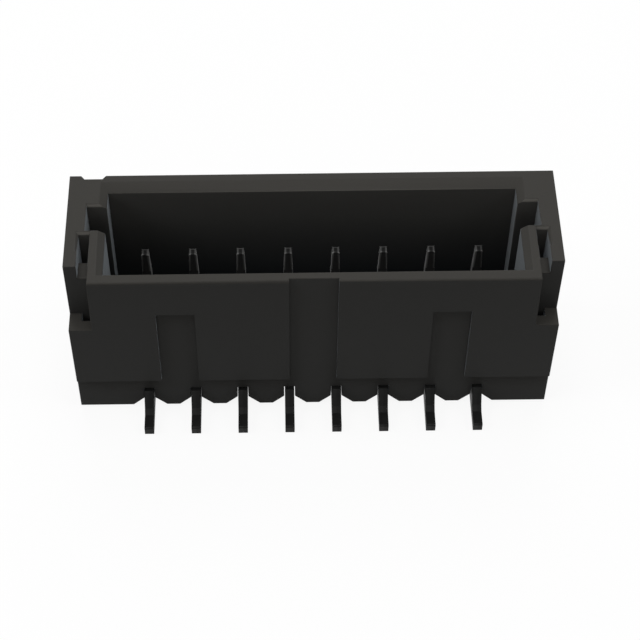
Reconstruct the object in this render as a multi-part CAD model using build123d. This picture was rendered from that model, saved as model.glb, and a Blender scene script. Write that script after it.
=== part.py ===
from build123d import *
import os

# Wire-to-board header: one row of contacts in a shrouded housing, entered from the top.
# Sizes are in millimetres.
# x runs along the row, y from the front wall to the rear, z up from the circuit board.
# Distances along y are counted from the face of the front wall until a piece is placed.

# Row of circuits
circuits = 8
pitch = 1.0
end_overhang = 1.5

# Housing, outside
depth = 2.9
height = 4.25
standoff = 0.03

# Shallow relief in the front: a plinth along the foot, a middle panel and two side panels
relief_depth = 0.085
plinth_top = 1.00
middle_panel_half = 0.495
side_panel_inner = 2.41
side_panel_outer = 3.20
side_panel_top = 3.24

# Front wall, whose ends lean outwards a little towards the foot
front_wall = 0.24
front_wall_half_top = 4.505
front_wall_half_foot = 4.53
ledge_top = 2.76
skin_front = 0.455

# Plug cavity
cavity_half = 4.20
rear_wall = 0.40
cavity_floor = 1.10
lead_in_depth = 0.10
lead_in_ends = 0.15
lead_in_rear = 0.23

# Pocket in each end wall
pocket_half = 4.612
pocket_front = 1.41
pocket_rear = 2.08
edge_break = 0.05

# Slot between each end wall's outer skin and the return of the front wall
slot_outer = 4.74
slot_front = 0.26
slot_rear = 1.335
slot_floor = 1.60
web_rear = 0.875
web_top = 3.87

# Notch on the rear edge that marks the first circuit
mark_near = 4.25
mark_far = 4.76
mark_depth = 0.09
mark_slope = 0.07

# Contacts, blanked from sheet
contact_sheet = 0.20
tail_reach = 0.675
tail_thickness = 0.21
tail_flat = 0.33
tail_bend_z = 0.29
tail_bend_back = 0.12
tail_tip_radius = 0.04
leg_top = 0.617
pad_contact_end = 0.45
pin_centre = 1.98
pin_depth = 0.22
pin_top = 2.885
pin_nose = 0.52
pin_nose_slope = 2.9
pin_nose_radius = 0.038

# Passage of each contact through the foot of the housing
leg_side_clearance = 0.015
scallop_half = 0.36

# Solder tabs, bent from sheet and pressed in from below at both ends
tab_sheet = 0.20
tab_leg_inner = 4.50
tab_leg_centre = 2.49
tab_leg_width = 0.50
tab_leg_top = 2.40
tab_top_clearance = 0.10
tab_foot_front = 1.55
tab_foot_rear = 2.85
tab_bend_radius = 0.05
tab_bend_clearance = 0.03

# Cuts run this far past a face so that they open it cleanly
past = 0.5

half_length = (circuits - 1) * pitch / 2 + end_overhang
cavity_rear = depth - rear_wall
leg_slot_half = contact_sheet / 2 + leg_side_clearance
row_start = -(circuits - 1) * pitch / 2
contact_rear = pin_centre + pin_depth / 2
pin_front = pin_centre - pin_depth / 2
placed_y = (tail_reach - depth) / 2


def block(x, y, z):
    """A box between two limits along each axis."""
    centre = ((x[0] + x[1]) / 2, (y[0] + y[1]) / 2, (z[0] + z[1]) / 2)
    return Pos(*centre) * Box(x[1] - x[0], y[1] - y[0], z[1] - z[0])


def prism_y(points, y):
    """A prism along y with the given outline in x and z."""
    outline = Plane.XZ * make_face(Polyline(*points, close=True))
    return Pos(0, y[1], 0) * extrude(outline, y[1] - y[0])


def prism_x(points, x):
    """A prism along x with the given outline in y and z."""
    outline = Plane.YZ * make_face(Polyline(*points, close=True))
    return Pos(x[0], 0, 0) * extrude(outline, x[1] - x[0])


def prism_z(points, z):
    """A prism along z with the given outline in x and y."""
    outline = make_face(Polyline(*points, close=True))
    return Pos(0, 0, z[0]) * extrude(outline, z[1] - z[0])


def widening(x, y, wide_x, wide_y, z):
    """A four-sided funnel from one rectangle up to a wider one."""
    sections = []
    for (x0, x1), (y0, y1), level in ((x, y, z[0]), (wide_x, wide_y, z[1])):
        corners = [(x0, y0, level), (x1, y0, level), (x1, y1, level), (x0, y1, level)]
        sections.append(make_face(Polyline(*corners, close=True)))
    return loft(sections)


def both_ends(solid):
    """The solid and its mirror image at the other end of the row."""
    return [solid, mirror(solid, about=Plane.YZ)]


def front_relief():
    """What is taken off the front: the plinth, the middle panel and the side panels."""
    y = (-past, relief_depth)
    plinth = block((-half_length - past, half_length + past), y, (0, plinth_top))
    middle = block((-middle_panel_half, middle_panel_half), y, (0, height + past))
    side = block((side_panel_inner, side_panel_outer), y, (0, side_panel_top))
    return [plinth, middle] + both_ends(side)


def end_clearings():
    """The open corners in front of the skins, above the ledge."""
    outline = [
        (front_wall_half_foot, ledge_top),
        (half_length + past, ledge_top),
        (half_length + past, height),
        (front_wall_half_top, height),
    ]
    return both_ends(prism_y(outline, (-past, skin_front)))


def end_slots():
    """The slots beside the front wall's returns, each crossed by a low web."""
    def part(y, floor):
        outline = [
            (front_wall_half_foot, floor),
            (slot_outer, floor),
            (slot_outer, height),
            (front_wall_half_top, height),
        ]
        if floor < ledge_top:
            outline.append((front_wall_half_foot, ledge_top))
        return prism_y(outline, y)

    lean = (front_wall_half_foot - front_wall_half_top) / (height - ledge_top)
    broken_edge = widening(
        (front_wall_half_top + lean * edge_break, slot_outer),
        (web_rear, slot_rear),
        (front_wall_half_top, slot_outer + edge_break),
        (web_rear, slot_rear + edge_break),
        (height - edge_break, height),
    )
    cuts = []
    cuts += both_ends(part((slot_front, skin_front), slot_floor))
    cuts += both_ends(part((skin_front, web_rear), web_top))
    cuts += both_ends(part((web_rear, slot_rear), slot_floor))
    cuts += both_ends(broken_edge)
    return cuts


def plug_space():
    """The cavity for the plug, its lead-in and the pockets in the end walls."""
    cavity = block((-cavity_half, cavity_half), (front_wall, cavity_rear), (cavity_floor, height))
    lead_in = widening(
        (-cavity_half, cavity_half),
        (front_wall, cavity_rear),
        (-cavity_half - lead_in_ends, cavity_half + lead_in_ends),
        (front_wall, cavity_rear + lead_in_rear),
        (height - lead_in_depth, height),
    )
    pocket = block((0, pocket_half), (pocket_front, pocket_rear), (cavity_floor, height))
    broken_edge = widening(
        (0, pocket_half),
        (pocket_front, pocket_rear),
        (0, pocket_half),
        (pocket_front, pocket_rear + edge_break),
        (height - edge_break, height),
    )
    return [cavity, lead_in] + both_ends(pocket) + both_ends(broken_edge)


def first_circuit_mark():
    """The notch on the rear edge beside the first circuit."""
    outline = [
        (-mark_far, depth),
        (-mark_far + mark_slope, depth - mark_depth),
        (-mark_near - mark_slope, depth - mark_depth),
        (-mark_near, depth),
    ]
    return prism_z(outline, (ledge_top, height))


def contact_passage(x):
    """The scallop, slot and hole that one contact passes through."""
    scallop_top = standoff + scallop_half - leg_slot_half
    outline = [
        (-scallop_half, standoff),
        (scallop_half, standoff),
        (leg_slot_half, scallop_top),
        (-leg_slot_half, scallop_top),
    ]
    scallop = prism_y(outline, (0, contact_rear))
    slot = block((-leg_slot_half, leg_slot_half), (0, contact_rear), (0, leg_top))
    hole = block((-contact_sheet / 2, contact_sheet / 2), (pin_front, contact_rear), (leg_top, cavity_floor))
    return [Pos(x, 0, 0) * cut for cut in (scallop, slot, hole)]


def tab_seats():
    """The slot for each tab's leg and the space for its foot."""
    leg_outer = tab_leg_inner + tab_sheet
    leg_y = (tab_leg_centre - tab_leg_width / 2, tab_leg_centre + tab_leg_width / 2)
    bend_space = tab_bend_radius + tab_bend_clearance
    leg_slot = block((tab_leg_inner, leg_outer), leg_y, (0, tab_leg_top + tab_top_clearance))
    foot_space = block((tab_leg_inner, half_length), (tab_foot_front, tab_foot_rear), (0, tab_sheet))
    bend = block((tab_leg_inner, leg_outer + bend_space), leg_y, (0, tab_sheet + bend_space))
    return both_ends(leg_slot) + both_ends(foot_space) + both_ends(bend)


def make_housing():
    """The moulded housing."""
    solid = block((-half_length, half_length), (0, depth), (standoff, height))
    cuts = front_relief() + end_clearings() + end_slots() + plug_space()
    cuts.append(first_circuit_mark())
    for i in range(circuits):
        cuts += contact_passage(row_start + i * pitch)
    cuts += tab_seats()
    for cut in cuts:
        solid -= cut
    return solid


def make_contact():
    """One contact: a flat blank with its tail forward and its pin upright."""
    shank_top = pin_top - pin_nose
    bend_y = tail_bend_back - tail_flat
    blank = prism_x(
        [
            (-tail_reach, 0),
            (pad_contact_end, 0),
            (pad_contact_end + standoff, standoff),
            (contact_rear, standoff),
            (contact_rear, shank_top),
            (pin_front, shank_top),
            (pin_front, leg_top),
            (0, leg_top),
            (bend_y, tail_bend_z),
            (-tail_flat, tail_thickness),
            (-tail_reach, tail_thickness),
        ],
        (-contact_sheet / 2, contact_sheet / 2),
    )
    tip_edge = blank.edges().filter_by(Axis.X).group_by(Axis.Y)[0].group_by(Axis.Z)[-1]
    blank = fillet(tip_edge, tail_tip_radius)
    shank = Pos(0, pin_centre, shank_top) * Rectangle(contact_sheet, pin_depth)
    nose = extrude(shank, pin_nose, taper=pin_nose_slope)
    nose = fillet(nose.faces().sort_by(Axis.Z)[-1].edges(), pin_nose_radius)
    return blank + nose


def make_tab():
    """The solder tab at the right-hand end: a leg in the housing and a foot on the board."""
    leg_outer = tab_leg_inner + tab_sheet
    profile = [
        (tab_leg_inner, 0),
        (half_length, 0),
        (half_length, tab_sheet),
        (leg_outer, tab_sheet),
        (leg_outer, tab_leg_top),
        (tab_leg_inner, tab_leg_top),
    ]
    leg_y = (tab_leg_centre - tab_leg_width / 2, tab_leg_centre + tab_leg_width / 2)
    bent = prism_y(profile, leg_y)
    upright = bent.edges().filter_by(Axis.Y)
    inside = upright.sort_by_distance((leg_outer, tab_leg_centre, tab_sheet))[0]
    bent = fillet(inside, tab_bend_radius)
    foot = block((tab_leg_inner, half_length), (tab_foot_front, tab_foot_rear), (0, tab_sheet))
    tab = bent + foot
    lower = tab.edges().filter_by(Axis.Y).group_by(Axis.Z)[0]
    outside = [edge for edge in lower if abs(edge.center().X - tab_leg_inner) < tab_bend_radius]
    return fillet(outside, tab_sheet / 2 + tab_bend_radius)


pieces = {"housing": make_housing()}
contact = make_contact()
for i in range(circuits):
    pieces[f"contact_{i + 1}"] = Pos(row_start + i * pitch, 0, 0) * contact
tab_right, tab_left = both_ends(make_tab())
pieces["solder_tab_left"] = tab_left
pieces["solder_tab_right"] = tab_right

os.makedirs("parts", exist_ok=True)
for name, piece in pieces.items():
    export_step(Pos(0, placed_y, 0) * piece, f"parts/{name}.step")
    print(name, round(piece.volume, 4), piece.is_valid)
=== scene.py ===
"""Finishes a wire-to-board header and sets its stage, laid out as an add-on.

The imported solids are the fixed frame. Every piece is shown as a copy of its
solid with finished edges: moulded rounds on the housing, and broken and coined
corners on the contacts and solder tabs, which are blanked from sheet. Lengths
are metres.
"""

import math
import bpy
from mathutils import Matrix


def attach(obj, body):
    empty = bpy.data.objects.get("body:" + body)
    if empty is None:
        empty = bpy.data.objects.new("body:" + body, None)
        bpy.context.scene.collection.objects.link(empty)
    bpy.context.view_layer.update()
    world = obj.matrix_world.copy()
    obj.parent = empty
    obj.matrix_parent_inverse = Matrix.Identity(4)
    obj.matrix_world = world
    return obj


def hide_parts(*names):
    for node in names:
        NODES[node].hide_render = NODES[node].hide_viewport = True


bl_info = {
    "name": "Wire-to-Board Header",
    "version": (1, 0, 0),
    "blender": (4, 5, 0),
    "location": "View3D > Sidebar > Header",
    "description": "Finishes a shrouded wire-to-board header and lights it",
    "category": "Object",
}

import bmesh
import bpy
import numpy as np
from mathutils import Matrix, Vector

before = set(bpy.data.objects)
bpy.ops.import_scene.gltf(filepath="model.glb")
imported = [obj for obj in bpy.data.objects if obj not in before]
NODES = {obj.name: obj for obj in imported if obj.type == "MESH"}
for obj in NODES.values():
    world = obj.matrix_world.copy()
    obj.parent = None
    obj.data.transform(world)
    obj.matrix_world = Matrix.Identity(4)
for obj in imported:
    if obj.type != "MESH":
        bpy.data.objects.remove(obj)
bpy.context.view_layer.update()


def solids(start):
    """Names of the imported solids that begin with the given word, in order."""
    names = sorted(name for name in NODES if name.startswith(start))
    if not names:
        raise ValueError(f"no packed solid has a name that begins with {start}")
    return names


HOUSING = "housing"
CONTACTS = solids("contact_")
SOLDER_TABS = solids("solder_tab_")

MM = 0.001

# Housing: thickness of the front wall, half of a length that holds all panels in
# the front, and height of the plinth
FRONT_WALL = 0.24 * MM
PANELS_HALF = 3.3 * MM
PLINTH_TOP = 1.0 * MM

# Contacts: pitch of the row, half of the sheet's thickness, rear face of the
# pins, a height just below the pins, and where the nose and its rounded top begin
PITCH = 1.0 * MM
HALF_SHEET = 0.1 * MM
NOSE_REAR = 0.9775 * MM
PIN_FOOT = 0.8 * MM
NOSE_FOOT = 2.365 * MM
NOSE_CUT = 2.84 * MM

# How far the faces of a nose lean inwards for each unit of height
NOSE_LEAN = 0.05

# Smallest turns, in degrees, that count as a corner of the housing, of the sheet
# and of a nose, and the least part of an upright edge's run that is height
HOUSING_CORNER = 15
SHEET_CORNER = 35
NOSE_CORNER = 15
UPRIGHT = 0.2

# Edges of the housing shorter than this many edge rounds stay sharp
SHORT_EDGE = 3

# Places nearer than CLOSE are the same, and copied corners nearer than MERGE are
# joined; faces that turn by less than FLAT_TURN are one flat
CLOSE = 0.001 * MM
MERGE = 1e-7
FLAT_TURN = math.radians(0.5)

# How much two faces of one flat may differ in direction and in level
SAME_WAY = 1e-6
SAME_LEVEL = 2e-8

# Gloss of both finishes, roughness of their bloom, and strength and depth of the
# relief of the grain and of the rolling streaks
SPECULAR = 0.03
BLOOM_ROUGHNESS = 0.4
GRAIN_RELIEF = (0.25, 0.003 * MM)
STREAK_RELIEF = (0.2, 0.002 * MM)

# Rolled sheet: streaks in a metre along x, y and z, clouds in a metre, and half of
# the step between the shear band and the break
STREAKS = (60000.0, 9000.0, 9000.0)
CLOUDS = 6000.0
BREAK_STEP = 0.02 * MM

# Largest y of the normal with which an inner wall, and the end of a tail, still
# count as facing the front
WALL_FACING = -0.5
END_FACING = -0.99

# Order of the contacts' materials
TAIL, PIN, END_HIGHLIGHT = range(3)

# Floor: half of its side, its grey as a source of light, its white as it is seen
# near the part, and the distances between which this becomes plain white
FLOOR_HALF = 0.5
FLOOR_GREY = 0.3
FLOOR_WHITE = 0.9
FLOOR_NEAR = 15 * MM
FLOOR_FAR = 60 * MM

# Place and side of each softbox
SOFTBOXES = {
    "back": ((0.0, 0.08, 0.09), 0.08),
    "top": ((0.0, 0.0, 0.12), 0.06),
    "front": ((0.0, -0.098, 0.069), 0.05),
    "left": ((-0.085, -0.01, 0.085), 0.06),
    "right": ((0.085, -0.01, 0.085), 0.06),
}


# Settings


class HeaderHousingSettings(bpy.types.PropertyGroup):
    """The moulded housing."""

    edge_round: bpy.props.FloatProperty(
        name="Edge round", description="Radius of the moulding's edges",
        default=0.013 * MM, min=0.0, precision=6, unit="LENGTH",
    )
    rim_round: bpy.props.FloatProperty(
        name="Rim round", description="Radius along the front of the rim",
        default=0.05 * MM, min=0.001 * MM, precision=6, unit="LENGTH",
    )
    inner_round: bpy.props.FloatProperty(
        name="Inner round",
        description="Radius along the inside of the front wall's rim",
        default=0.03 * MM, min=0.001 * MM, precision=6, unit="LENGTH",
    )
    round_steps: bpy.props.IntProperty(
        name="Steps", description="Faces across each round", default=3, min=1,
    )
    plastic: bpy.props.FloatVectorProperty(
        name="Plastic", description="Colour of the moulding compound",
        subtype="COLOR", size=3, default=(0.0439, 0.0418, 0.0377),
    )
    bloom: bpy.props.FloatVectorProperty(
        name="Bloom", description="Colour of the dusty bloom seen along the surface",
        subtype="COLOR", size=3, default=(0.827, 0.919, 1.0),
    )
    bloom_share: bpy.props.FloatProperty(
        name="Bloom share", description="How strongly the bloom shows",
        subtype="FACTOR", default=0.271, min=0.0, max=1.0,
    )
    roughness: bpy.props.FloatProperty(
        name="Roughness", description="Roughness of the satin moulding",
        subtype="FACTOR", default=0.4, min=0.0, max=1.0,
    )
    # Painted shade and light: the inner walls that face the front are painted darker
    # deep in the cavity and paler towards its mouth, by this gain for each mm about the
    # even height
    cavity_shade_gain: bpy.props.FloatProperty(
        name="Mouth gain",
        description="How much paler the inner walls get for each mm towards the mouth",
        default=0.72, min=0.0,
    )
    even_height: bpy.props.FloatProperty(
        name="Even height",
        description="Height at which the inner walls have the plain colour",
        default=2.8 * MM, min=0.0, precision=6, unit="LENGTH",
    )
    grain: bpy.props.FloatProperty(
        name="Grain", description="Size of the eroded mould grain",
        default=0.03 * MM, min=0.001 * MM, precision=6, unit="LENGTH",
    )


class HeaderContactSettings(bpy.types.PropertyGroup):
    """The blanked contacts and solder tabs."""

    edge_round: bpy.props.FloatProperty(
        name="Edge round", description="Radius of the broken sheet edges",
        default=0.01 * MM, min=0.0, precision=6, unit="LENGTH",
    )
    nose_round: bpy.props.FloatProperty(
        name="Nose round",
        description="Radius of the coined corners of each pin's nose",
        default=0.03 * MM, min=0.001 * MM, precision=6, unit="LENGTH",
    )
    round_steps: bpy.props.IntProperty(
        name="Steps", description="Faces across each round", default=3, min=1,
    )
    tail_plating: bpy.props.FloatVectorProperty(
        name="Tail plating", description="Colour of the tails and solder tabs",
        subtype="COLOR", size=3, default=(0.017, 0.0172, 0.0168),
    )
    # Painted light: the pins are painted paler than the tails, which are the same metal,
    # to lift them out of the cavity's shade
    pin_plating_painted_light: bpy.props.FloatVectorProperty(
        name="Pin plating", description="Colour of the pins",
        subtype="COLOR", size=3, default=(0.027, 0.027, 0.0265),
    )
    # Painted highlight: the tails' sheared ends are painted paler than the tails to
    # stand in for the light that they catch
    cut_end_highlight: bpy.props.FloatVectorProperty(
        name="Cut end", description="Colour of the sheared ends of the tails",
        subtype="COLOR", size=3, default=(0.033, 0.033, 0.032),
    )
    metallic: bpy.props.FloatProperty(
        name="Metallic", description="How metallic the dull plating looks",
        subtype="FACTOR", default=0.5, min=0.0, max=1.0,
    )
    roughness: bpy.props.FloatProperty(
        name="Roughness", description="Roughness of the rolled sheet",
        subtype="FACTOR", default=0.38, min=0.0, max=1.0,
    )
    pin_bloom: bpy.props.FloatProperty(
        name="Pin bloom", description="How strongly a pale bloom shows along the pins",
        subtype="FACTOR", default=0.22, min=0.0, max=1.0,
    )
    # Painted highlight and shade on each pin's nose: its corners are painted brighter
    # over this width by this gain, and its top painted darker by this loss
    painted_highlight_width: bpy.props.FloatProperty(
        name="Coining", description="Width of the bright corners of each pin's nose",
        default=0.045 * MM, min=0.001 * MM, precision=6, unit="LENGTH",
    )
    painted_highlight_gain: bpy.props.FloatProperty(
        name="Coined gain", description="How much brighter these corners are",
        default=3.4, min=0.0,
    )
    painted_top_shade: bpy.props.FloatProperty(
        name="Cut loss", description="How much darker the top of each pin's nose is",
        subtype="FACTOR", default=0.4, min=0.0, max=1.0,
    )


class HeaderStageSettings(bpy.types.PropertyGroup):
    """Camera and lamps."""

    camera_place: bpy.props.FloatVectorProperty(
        name="Camera", description="Place of the camera", size=3,
        default=(-0.663 * MM, -23.616 * MM, 31.793 * MM), precision=6, unit="LENGTH",
    )
    camera_turn: bpy.props.FloatProperty(
        name="Turn", description="Camera turned towards +X",
        subtype="ANGLE", default=math.radians(-0.074),
    )
    camera_tilt: bpy.props.FloatProperty(
        name="Tilt", description="Camera tilted below the horizon",
        subtype="ANGLE", default=math.radians(52.746),
    )
    camera_roll: bpy.props.FloatProperty(
        name="Roll", description="Camera rolled about its own axis",
        subtype="ANGLE", default=math.radians(-0.750),
    )
    lens: bpy.props.FloatProperty(
        name="Lens", description="Focal length of the camera",
        default=101.42, min=1.0, unit="CAMERA",
    )
    lens_shift: bpy.props.FloatVectorProperty(
        name="Lens shift",
        description="How far the picture is off the lens axis, in widths of the frame",
        size=2, default=(0.0625, 0.039),
    )
    back_level: bpy.props.FloatProperty(
        name="Back softbox",
        description="Light from behind; 1 lights a surface that faces it by 1",
        default=0.335, min=0.0,
    )
    top_level: bpy.props.FloatProperty(
        name="Top softbox", description="Light from overhead",
        default=0.39, min=0.0,
    )
    front_level: bpy.props.FloatProperty(
        name="Front softbox", description="Light from the front",
        default=0.078, min=0.0,
    )
    left_level: bpy.props.FloatProperty(
        name="Left softbox", description="Light from the left",
        default=0.327, min=0.0,
    )
    right_level: bpy.props.FloatProperty(
        name="Right softbox", description="Light from the right",
        default=0.195, min=0.0,
    )


# Node helpers


def add_node(tree, kind, values=None, **settings):
    """A node of the given kind with its settings, and its inputs set or linked."""
    node = tree.nodes.new(kind)
    for name, value in settings.items():
        setattr(node, name, value)
    for key, value in (values or {}).items():
        if isinstance(value, bpy.types.NodeSocket):
            tree.links.new(value, node.inputs[key])
        else:
            node.inputs[key].default_value = value
    return node


def math_node(tree, operation, *values):
    """The result of one calculation."""
    return add_node(
        tree, "ShaderNodeMath", dict(enumerate(values)), operation=operation
    ).outputs[0]


def ramp(tree, value, start, end, low, high, **settings):
    """Runs from low to high while the value runs from start to end."""
    return add_node(
        tree, "ShaderNodeMapRange",
        {
            "Value": value, "From Min": start, "From Max": end,
            "To Min": low, "To Max": high,
        },
        **settings,
    ).outputs[0]


def noise(tree, place, scale, detail, roughness):
    """Noise around one half."""
    return add_node(
        tree, "ShaderNodeTexNoise",
        {"Vector": place, "Scale": scale, "Detail": detail, "Roughness": roughness},
    ).outputs["Fac"]


def toned(tree, colour, tone):
    """The colour times the tone."""
    return add_node(
        tree, "ShaderNodeVectorMath", {0: tuple(colour), "Scale": tone},
        operation="SCALE",
    ).outputs[0]


def bumped(tree, height, strength, depth):
    """The normal of a surface with the given relief."""
    return add_node(
        tree, "ShaderNodeBump",
        {"Strength": strength, "Distance": depth, "Height": height},
    ).outputs[0]


def on_piece(tree):
    """Place on the piece."""
    return add_node(tree, "ShaderNodeTexCoord").outputs["Object"]


def along_axes(tree, vector):
    """The vector's three parts."""
    return add_node(tree, "ShaderNodeSeparateXYZ", {"Vector": vector}).outputs


def across_sheet(tree, x):
    """Distance to the right of the nearest contact's middle plane: x within one
    pitch, less half a pitch, as the contacts stand half a pitch off the middle."""
    within = math_node(tree, "WRAP", x, PITCH, 0.0)
    return math_node(tree, "SUBTRACT", within, PITCH / 2)


def seen_directly(tree):
    """1 for what the camera sees, also through glass or in gloss, and 0 for light."""
    path = add_node(tree, "ShaderNodeLightPath").outputs
    seen = math_node(tree, "ADD", path["Is Camera Ray"], path["Is Glossy Ray"])
    return math_node(tree, "ADD", seen, path["Is Transmission Ray"])


def new_material(name):
    """A material with an empty node tree, and the tree."""
    material = bpy.data.materials.new(name)
    material.use_nodes = True
    material.node_tree.nodes.clear()
    return material, material.node_tree


def surface(tree, shader):
    """Shows the shader on the surface."""
    add_node(tree, "ShaderNodeOutputMaterial", {"Surface": shader})


def new_group(name, inputs, outputs):
    """A node group of numbers with the given inputs and outputs, what comes into
    it and what goes out of it."""
    group = bpy.data.node_groups.new(name, "ShaderNodeTree")
    for label, value in inputs.items():
        socket = group.interface.new_socket(
            label, in_out="INPUT", socket_type="NodeSocketFloat"
        )
        socket.default_value = value
    for label in outputs:
        group.interface.new_socket(
            label, in_out="OUTPUT", socket_type="NodeSocketFloat"
        )
    given = add_node(group, "NodeGroupInput").outputs
    return group, given, add_node(group, "NodeGroupOutput").inputs


# Shared effects


def moulded_grain():
    """Fine eroded mould grain over a slow flow mottle.

    Grain and Mottle are how many of each lie along a metre. Tone is 1 plus
    Spread times the sum of both, each taken around 0. Roughness is the given one
    plus Swing times the mottle. Height is the grain."""
    name = "moulded grain"
    if name in bpy.data.node_groups:
        return bpy.data.node_groups[name]
    group, given, out = new_group(
        name,
        {
            "Grain": 30000.0, "Mottle": 1500.0, "Spread": 0.08,
            "Roughness": 0.5, "Swing": 0.25,
        },
        ("Tone", "Roughness", "Height"),
    )
    place = on_piece(group)
    grain = noise(group, place, given["Grain"], 2.0, 0.6)
    mottle = noise(group, place, given["Mottle"], 3.0, 0.55)
    centred = math_node(group, "SUBTRACT", math_node(group, "ADD", grain, mottle), 1.0)
    tone = math_node(group, "MULTIPLY_ADD", centred, given["Spread"], 1.0)
    swing = math_node(group, "SUBTRACT", mottle, 0.5)
    rough = math_node(group, "MULTIPLY_ADD", swing, given["Swing"], given["Roughness"])
    for label, value in (("Tone", tone), ("Roughness", rough), ("Height", grain)):
        group.links.new(value, out[label])
    return group


def rolled_sheet():
    """Dull plating over rolled and blanked sheet.

    Fine streaks run along the strip, and soft clouds lie over them. Across the
    sheet's thickness the blanked edge is half smooth shear band and half darker,
    rougher break, with a soft step between them. Tone is 1 plus Clouds times the
    clouds, taken around 0, less Break loss on the break. Roughness is the given
    one plus Streaks times the streaks, plus Break roughness on the break. Height
    is the streaks."""
    name = "rolled sheet"
    if name in bpy.data.node_groups:
        return bpy.data.node_groups[name]
    group, given, out = new_group(
        name,
        {
            "Roughness": 0.4, "Clouds": 0.3, "Streaks": 0.16,
            "Break loss": 0.12, "Break roughness": 0.10,
        },
        ("Tone", "Roughness", "Height"),
    )
    place = on_piece(group)
    drawn = add_node(
        group, "ShaderNodeMapping", {"Vector": place, "Scale": STREAKS}
    ).outputs[0]
    streak = noise(group, drawn, 1.0, 2.0, 0.5)
    cloud = noise(group, place, CLOUDS, 2.0, 0.5)
    across = across_sheet(group, along_axes(group, place)["X"])
    broken = ramp(
        group, across, -BREAK_STEP, BREAK_STEP, 0.0, 1.0,
        interpolation_type="SMOOTHSTEP",
    )
    plain = math_node(group, "MULTIPLY_ADD", given["Clouds"], -0.5, 1.0)
    tone = math_node(group, "MULTIPLY_ADD", cloud, given["Clouds"], plain)
    loss = math_node(group, "MULTIPLY", broken, given["Break loss"])
    tone = math_node(group, "SUBTRACT", tone, loss)
    rough = math_node(
        group, "MULTIPLY_ADD", streak, given["Streaks"], given["Roughness"]
    )
    rough = math_node(group, "MULTIPLY_ADD", broken, given["Break roughness"], rough)
    for label, value in (("Tone", tone), ("Roughness", rough), ("Height", streak)):
        group.links.new(value, out[label])
    return group


# Materials


def painted_cavity_shade(tree, settings):
    """Painted light and shade on the walls of the cavity and pockets that face the
    front: their tone is 1 plus the gain times the height above the even height,
    so they are painted darker deeper down and paler towards the mouth. All else
    has the tone 1."""
    x, y, z = along_axes(tree, on_piece(tree))
    normal = add_node(tree, "ShaderNodeNewGeometry").outputs["Normal"]
    facing = math_node(tree, "LESS_THAN", along_axes(tree, normal)["Y"], WALL_FACING)
    behind = math_node(tree, "GREATER_THAN", y, 0.0)
    inside = math_node(tree, "MULTIPLY", facing, behind)
    rise = math_node(tree, "SUBTRACT", z, settings.even_height)
    gain = math_node(tree, "MULTIPLY", rise, settings.cavity_shade_gain / MM)
    return math_node(tree, "MULTIPLY_ADD", inside, gain, 1.0)


def plastic_material(settings):
    """Satin black glass-filled compound with an eroded mould finish."""
    material, tree = new_material("black moulding compound")
    grain = add_node(
        tree, "ShaderNodeGroup",
        {"Grain": 1.0 / settings.grain, "Roughness": settings.roughness},
        node_tree=moulded_grain(),
    ).outputs
    # Painted shade and light: inner walls darker deeper in the cavity, paler at its
    # mouth
    tone = math_node(tree, "MULTIPLY", grain["Tone"], painted_cavity_shade(tree, settings))
    shader = add_node(
        tree, "ShaderNodeBsdfPrincipled",
        {
            "Base Color": toned(tree, settings.plastic, tone),
            "Roughness": grain["Roughness"],
            "Specular IOR Level": SPECULAR,
            "Sheen Weight": settings.bloom_share,
            "Sheen Roughness": BLOOM_ROUGHNESS,
            "Sheen Tint": (*settings.bloom, 1.0),
            "Normal": bumped(tree, grain["Height"], *GRAIN_RELIEF),
        },
    ).outputs[0]
    surface(tree, shader)
    return material


def painted_nose_light(tree, settings):
    """Where a pin's nose gets a painted highlight, and where it gets painted shade.

    The first is 1 within half the highlight's width from the nose's left, right
    and rear faces, which lean inwards, and fades to 0 over the other half.
    The second is 1 on the nose's top."""
    x, y, z = along_axes(tree, on_piece(tree))
    rise = math_node(tree, "SUBTRACT", z, NOSE_FOOT)
    side = math_node(tree, "MULTIPLY_ADD", rise, -NOSE_LEAN, HALF_SHEET)
    rear = math_node(tree, "MULTIPLY_ADD", rise, -NOSE_LEAN, NOSE_REAR)
    off_middle = math_node(tree, "ABSOLUTE", across_sheet(tree, x))
    inwards = math_node(tree, "SUBTRACT", side, off_middle)
    forwards = math_node(tree, "SUBTRACT", rear, y)
    near = math_node(tree, "MINIMUM", inwards, forwards)
    coined_and_painted_bright = ramp(tree, near, 0.5 * settings.painted_highlight_width, settings.painted_highlight_width, 1.0, 0.0)
    on_nose = math_node(tree, "GREATER_THAN", rise, 0.0)
    top_shade_mask = math_node(tree, "GREATER_THAN", z, NOSE_CUT)
    return math_node(tree, "MULTIPLY", coined_and_painted_bright, on_nose), top_shade_mask


def sheet_material(name, colour, settings, bloom=0.0, nose=False):
    """Rolled sheet of the given colour, half way between metal and dull plating.

    With a nose, the corners of the pins' noses get a painted highlight and their
    tops painted shade."""
    material, tree = new_material(name)
    sheet = add_node(
        tree, "ShaderNodeGroup", {"Roughness": settings.roughness},
        node_tree=rolled_sheet(),
    ).outputs
    tone = sheet["Tone"]
    if nose:
        # Painted highlight on the nose's corners and painted shade on its top
        coined_and_painted_bright, top_shade_mask = painted_nose_light(tree, settings)
        plain = math_node(tree, "MULTIPLY_ADD", top_shade_mask, -settings.painted_top_shade, 1.0)
        gain = math_node(tree, "MULTIPLY_ADD", coined_and_painted_bright, settings.painted_highlight_gain, plain)
        tone = math_node(tree, "MULTIPLY", tone, gain)
    shader = add_node(
        tree, "ShaderNodeBsdfPrincipled",
        {
            "Base Color": toned(tree, colour, tone),
            "Metallic": settings.metallic,
            "Roughness": sheet["Roughness"],
            "Specular IOR Level": SPECULAR,
            "Sheen Weight": bloom,
            "Sheen Roughness": BLOOM_ROUGHNESS,
            "Normal": bumped(tree, sheet["Height"], *STREAK_RELIEF),
        },
    ).outputs[0]
    surface(tree, shader)
    return material


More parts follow.
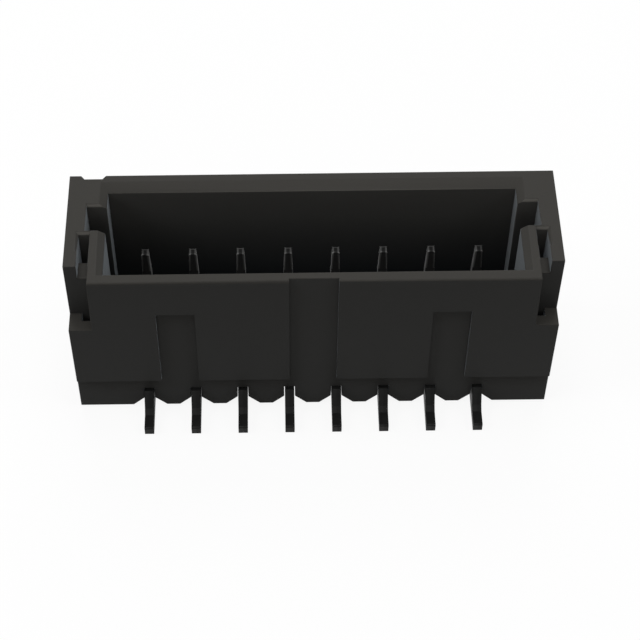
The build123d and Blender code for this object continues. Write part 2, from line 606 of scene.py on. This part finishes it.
def floor_material():
    """White floor that keeps a faint shadow.

    Seen by the camera or in gloss it is mostly plain white, wholly so away from
    the part, over white paint that takes the shadow. As a source of light it is
    matt grey paint."""
    material, tree = new_material("white floor")
    seen = seen_directly(tree)
    tone = math_node(tree, "MULTIPLY_ADD", seen, 1.0 - FLOOR_GREY, FLOOR_GREY)
    away = add_node(
        tree, "ShaderNodeVectorMath", {0: on_piece(tree)}, operation="LENGTH"
    ).outputs["Value"]
    plain = ramp(tree, away, FLOOR_NEAR, FLOOR_FAR, FLOOR_WHITE, 1.0)
    share = math_node(tree, "MULTIPLY", seen, plain)
    paint = add_node(tree, "ShaderNodeBsdfDiffuse", {"Color": tone}).outputs[0]
    white = add_node(
        tree, "ShaderNodeEmission", {"Color": (1.0, 1.0, 1.0, 1.0)}
    ).outputs[0]
    mixed = add_node(tree, "ShaderNodeMixShader", {0: share, 1: paint, 2: white})
    surface(tree, mixed.outputs[0])
    return material


# Pieces


def merged_copy(node, name):
    """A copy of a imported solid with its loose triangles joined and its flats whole."""
    mesh = bpy.data.meshes.new(name)
    work = bmesh.new()
    work.from_mesh(NODES[node].data)
    bmesh.ops.remove_doubles(work, verts=work.verts, dist=MERGE)
    bmesh.ops.dissolve_limit(
        work, angle_limit=FLAT_TURN, verts=work.verts, edges=work.edges
    )
    bmesh.ops.connect_verts_concave(work, faces=work.faces)
    work.to_mesh(mesh)
    work.free()
    piece = bpy.data.objects.new(name, mesh)
    bpy.context.scene.collection.objects.link(piece)
    return piece


def read(elements, name, width, kind=np.float32):
    """One property of all vertices, edges, loops or faces as an array."""
    values = np.zeros(len(elements) * width, kind)
    elements.foreach_get(name, values)
    return values.reshape(-1, width) if width > 1 else values


def face_planes(mesh):
    """Normal of each face, and how far its plane lies from the origin."""
    normal = read(mesh.polygons, "normal", 3)
    return normal, (normal * read(mesh.polygons, "center", 3)).sum(1)


def edge_facts(mesh):
    """Ends of each edge, its turn in degrees, and whether it is an outside corner.

    The turn is the angle between the normals of the edge's two faces. The corner
    is an outside one where the cross product of the first face's normal and the
    second's points the way that the first face runs along the edge."""
    ends = read(mesh.edges, "vertices", 2, np.int32)
    place = read(mesh.vertices, "co", 3)
    normal = read(mesh.polygons, "normal", 3)
    sides = read(mesh.polygons, "loop_total", 1, np.int32)
    start = read(mesh.loops, "vertex_index", 1, np.int32)
    edge = read(mesh.loops, "edge_index", 1, np.int32)
    loops = np.argsort(edge, kind="stable").reshape(-1, 2)
    pair = normal[np.repeat(np.arange(len(sides)), sides)[loops]]
    turn = np.degrees(np.arccos(np.clip((pair[:, 0] * pair[:, 1]).sum(1), -1, 1)))
    along = place[ends[:, 1]] - place[ends[:, 0]]
    along[start[loops[:, 0]] != ends[:, 0]] *= -1
    outside = (np.cross(pair[:, 0], pair[:, 1]) * along).sum(1) > 0
    return place[ends], turn, outside


def housing_rounds(mesh, settings):
    """Share of the rim round that each edge of the housing gets.

    Outside corners get the plain round, the front of the rim the wide one and
    the inside of the front wall's rim its own. Inside corners, the edges around
    the panels and the plinth, and short edges stay as they are."""
    ends, turn, outside = edge_facts(mesh)
    x, y, z = ends[..., 0], ends[..., 1], ends[..., 2]
    front, top = y.min(), z.max()
    length = np.linalg.norm(ends[:, 1] - ends[:, 0], axis=1)
    whole = length > SHORT_EDGE * settings.edge_round
    plain = (turn > HOUSING_CORNER) & outside & whole
    on_top = (z > top - CLOSE).all(1)
    in_front = (y < front + CLOSE).all(1)
    inside = on_top & (np.abs(y - front - FRONT_WALL) < CLOSE).all(1)
    relief = (np.abs(x) < PANELS_HALF).all(1) | (z < PLINTH_TOP + CLOSE).all(1)
    share = plain * settings.edge_round / settings.rim_round
    share = np.where(inside, settings.inner_round / settings.rim_round, share)
    share = np.where(in_front & relief, 0.0, share)
    return np.where(in_front & on_top, 1.0, share)


def sheet_rounds(mesh, settings):
    """Share of the nose round that each edge of a sheet piece gets.

    Outside corners get the plain round, and the upright corners of a pin's nose
    the wide one. The upright corners of its shank stay sharp."""
    ends, turn, outside = edge_facts(mesh)
    step = np.abs(ends[:, 1] - ends[:, 0])
    low, high = ends[..., 2].min(1), ends[..., 2].max(1)
    plain = (turn > SHEET_CORNER) & outside
    upright = (turn > NOSE_CORNER) & (step[:, 2] > UPRIGHT * step.sum(1))
    nose = upright & (low > NOSE_FOOT - CLOSE)
    shank = upright & (low > PIN_FOOT) & (high < NOSE_FOOT + CLOSE)
    share = np.where(shank, 0.0, plain * settings.edge_round / settings.nose_round)
    return np.where(nose, 1.0, share)


def round_edges(piece, shares, width, steps):
    """Bevels each edge of the piece by its share of the width."""
    weight = piece.data.attributes.new("bevel_weight_edge", "FLOAT", "EDGE")
    weight.data.foreach_set("value", shares.astype(np.float32))
    bevel = piece.modifiers.new("edge round", "BEVEL")
    bevel.width = width
    bevel.segments = steps
    bevel.limit_method = "WEIGHT"
    bevel.use_clamp_overlap = False
    bevel.loop_slide = False


def keep_rounds(piece):
    """Makes the rounds part of the mesh, smooth across them and flat on the flats.

    A face is one of the flats if it lies in the plane of a face that the piece
    had before its edges were rounded."""
    normal, level = face_planes(piece.data)
    graph = bpy.context.evaluated_depsgraph_get()
    mesh = bpy.data.meshes.new_from_object(piece.evaluated_get(graph))
    piece.modifiers.clear()
    piece.data = mesh
    new_normal, new_level = face_planes(mesh)
    same_way = new_normal @ normal.T > 1 - SAME_WAY
    same_level = np.abs(new_level[:, None] - level[None, :]) < SAME_LEVEL
    flat = (same_way & same_level).any(1)
    mesh.polygons.foreach_set("use_smooth", ~flat)
    mesh.update()


def rounded_piece(node, name, find_shares, width, steps):
    """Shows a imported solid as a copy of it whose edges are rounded."""
    piece = merged_copy(node, name)
    round_edges(piece, find_shares(piece.data), width, steps)
    keep_rounds(piece)
    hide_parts(node)
    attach(piece, "root")
    return piece


def zone_contact(mesh):
    """Gives the pin, above its foot, and the tail's sheared end their materials: the
    pin's is paler as painted light, the sheared end's is a painted highlight.
    """
    centre = read(mesh.polygons, "center", 3)
    normal = read(mesh.polygons, "normal", 3)
    front = read(mesh.vertices, "co", 3)[:, 1].min()
    sheared = (centre[:, 1] < front + CLOSE) & (normal[:, 1] < END_FACING)
    index = np.where(sheared, END_HIGHLIGHT, np.where(centre[:, 2] > PIN_FOOT, PIN, TAIL))
    mesh.polygons.foreach_set("material_index", index.astype(np.int32))
    mesh.update()


class HEADER_OT_housing(bpy.types.Operator):
    """Shows the housing as a moulding with rounded edges"""

    bl_idname = "header.housing"
    bl_label = "Housing"

    def execute(self, context):
        settings = context.scene.header_housing
        piece = rounded_piece(
            HOUSING, "moulded_housing", lambda mesh: housing_rounds(mesh, settings),
            settings.rim_round, settings.round_steps,
        )
        piece.data.materials.append(plastic_material(settings))
        return {"FINISHED"}


class HEADER_OT_contacts(bpy.types.Operator):
    """Shows the contacts as plated blanks with sheared tail ends and coined noses"""

    bl_idname = "header.contacts"
    bl_label = "Contacts"

    def execute(self, context):
        settings = context.scene.header_contacts
        # The pins' paler plating is painted light, and the sheared ends' paler colour a
        # painted highlight
        materials = {
            TAIL: sheet_material("dull plating", settings.tail_plating, settings),
            PIN: sheet_material(
                "pin plating with painted light", settings.pin_plating_painted_light, settings,
                bloom=settings.pin_bloom, nose=True,
            ),
            END_HIGHLIGHT: sheet_material("sheared end highlight", settings.cut_end_highlight, settings),
        }
        for node in CONTACTS:
            piece = rounded_piece(
                node, f"plated_{node}", lambda mesh: sheet_rounds(mesh, settings),
                settings.nose_round, settings.round_steps,
            )
            for material in materials.values():
                piece.data.materials.append(material)
            zone_contact(piece.data)
        return {"FINISHED"}


class HEADER_OT_solder_tabs(bpy.types.Operator):
    """Shows the solder tabs as plated blanks with broken edges"""

    bl_idname = "header.solder_tabs"
    bl_label = "Solder Tabs"

    def execute(self, context):
        settings = context.scene.header_contacts
        material = sheet_material("tab plating", settings.tail_plating, settings)
        for node in SOLDER_TABS:
            piece = rounded_piece(
                node, f"plated_{node}", lambda mesh: sheet_rounds(mesh, settings),
                settings.nose_round, settings.round_steps,
            )
            piece.data.materials.append(material)
        return {"FINISHED"}


# Stage


def softbox(name, place, side, level):
    """A square area lamp facing the middle of the part.

    Its power is pi squared times the level times its distance squared, so that
    level 1 lights a facing matt surface to about its own colour."""
    lamp = bpy.data.lights.new(name, "AREA")
    lamp.shape = "SQUARE"
    lamp.size = side
    lamp.energy = math.pi**2 * level * Vector(place).length ** 2
    holder = bpy.data.objects.new(name, lamp)
    holder.location = place
    holder.rotation_euler = Vector(place).to_track_quat("Z", "Y").to_euler()
    holder.visible_camera = False
    bpy.context.scene.collection.objects.link(holder)


class HEADER_OT_stage(bpy.types.Operator):
    """Sets the floor, the room, the lamps and the camera"""

    bl_idname = "header.stage"
    bl_label = "Stage"

    def execute(self, context):
        scene = context.scene
        settings = scene.header_stage
        scene.view_settings.view_transform = "Standard"
        self.floor(scene)
        self.room(scene)
        for where, (place, side) in SOFTBOXES.items():
            level = getattr(settings, f"{where}_level")
            softbox(f"softbox_{where}", place, side, level)
        self.camera(scene, settings)
        return {"FINISHED"}

    def floor(self, scene):
        """A wide square floor at the board's level."""
        signs = ((-1, -1), (1, -1), (1, 1), (-1, 1))
        corners = [(x * FLOOR_HALF, y * FLOOR_HALF, 0.0) for x, y in signs]
        mesh = bpy.data.meshes.new("floor")
        mesh.from_pydata(corners, [], [(0, 1, 2, 3)])
        mesh.materials.append(floor_material())
        floor = bpy.data.objects.new("floor", mesh)
        scene.collection.objects.link(floor)

    def room(self, scene):
        """Plain white to the eye and in gloss; the light comes from the softboxes."""
        world = bpy.data.worlds.new("room")
        world.use_nodes = True
        tree = world.node_tree
        tree.nodes.clear()
        white = add_node(
            tree, "ShaderNodeBackground",
            {"Color": (1.0, 1.0, 1.0, 1.0), "Strength": seen_directly(tree)},
        ).outputs[0]
        add_node(tree, "ShaderNodeOutputWorld", {"Surface": white})
        scene.world = world

    def camera(self, scene, settings):
        """The camera where the picture was taken from."""
        lens = bpy.data.cameras.new("camera")
        lens.sensor_width = 36.0
        lens.lens = settings.lens
        lens.shift_x, lens.shift_y = settings.lens_shift
        lens.clip_start = 0.001
        lens.clip_end = 10.0
        camera = bpy.data.objects.new("camera", lens)
        scene.collection.objects.link(camera)
        camera.matrix_world = (
            Matrix.Translation(settings.camera_place)
            @ Matrix.Rotation(-settings.camera_turn, 4, "Z")
            @ Matrix.Rotation(math.pi / 2 - settings.camera_tilt, 4, "X")
            @ Matrix.Rotation(settings.camera_roll, 4, "Z")
        )
        scene.camera = camera


# Add-on


SETTINGS = {
    "header_housing": HeaderHousingSettings,
    "header_contacts": HeaderContactSettings,
    "header_stage": HeaderStageSettings,
}
OPERATORS = (
    HEADER_OT_housing, HEADER_OT_contacts, HEADER_OT_solder_tabs, HEADER_OT_stage,
)


class HEADER_PT_sidebar(bpy.types.Panel):
    """Lists the header's operators and settings"""

    bl_label = "Header"
    bl_space_type = "VIEW_3D"
    bl_region_type = "UI"
    bl_category = "Header"

    def draw(self, context):
        for operator in OPERATORS:
            self.layout.operator(operator.bl_idname)
        for name, kind in SETTINGS.items():
            box = self.layout.box()
            for key in kind.__annotations__:
                box.prop(getattr(context.scene, name), key)


CLASSES = (*SETTINGS.values(), *OPERATORS, HEADER_PT_sidebar)


def register():
    """Adds the settings, operators and panel."""
    for kind in CLASSES:
        bpy.utils.register_class(kind)
    for name, kind in SETTINGS.items():
        setattr(bpy.types.Scene, name, bpy.props.PointerProperty(type=kind))


def unregister():
    """Takes them away again."""
    for name in SETTINGS:
        delattr(bpy.types.Scene, name)
    for kind in reversed(CLASSES):
        bpy.utils.unregister_class(kind)


def main():
    """Builds the scene."""
    register()
    bpy.ops.header.housing()
    bpy.ops.header.contacts()
    bpy.ops.header.solder_tabs()
    bpy.ops.header.stage()


if __name__ == "__main__":
    main()
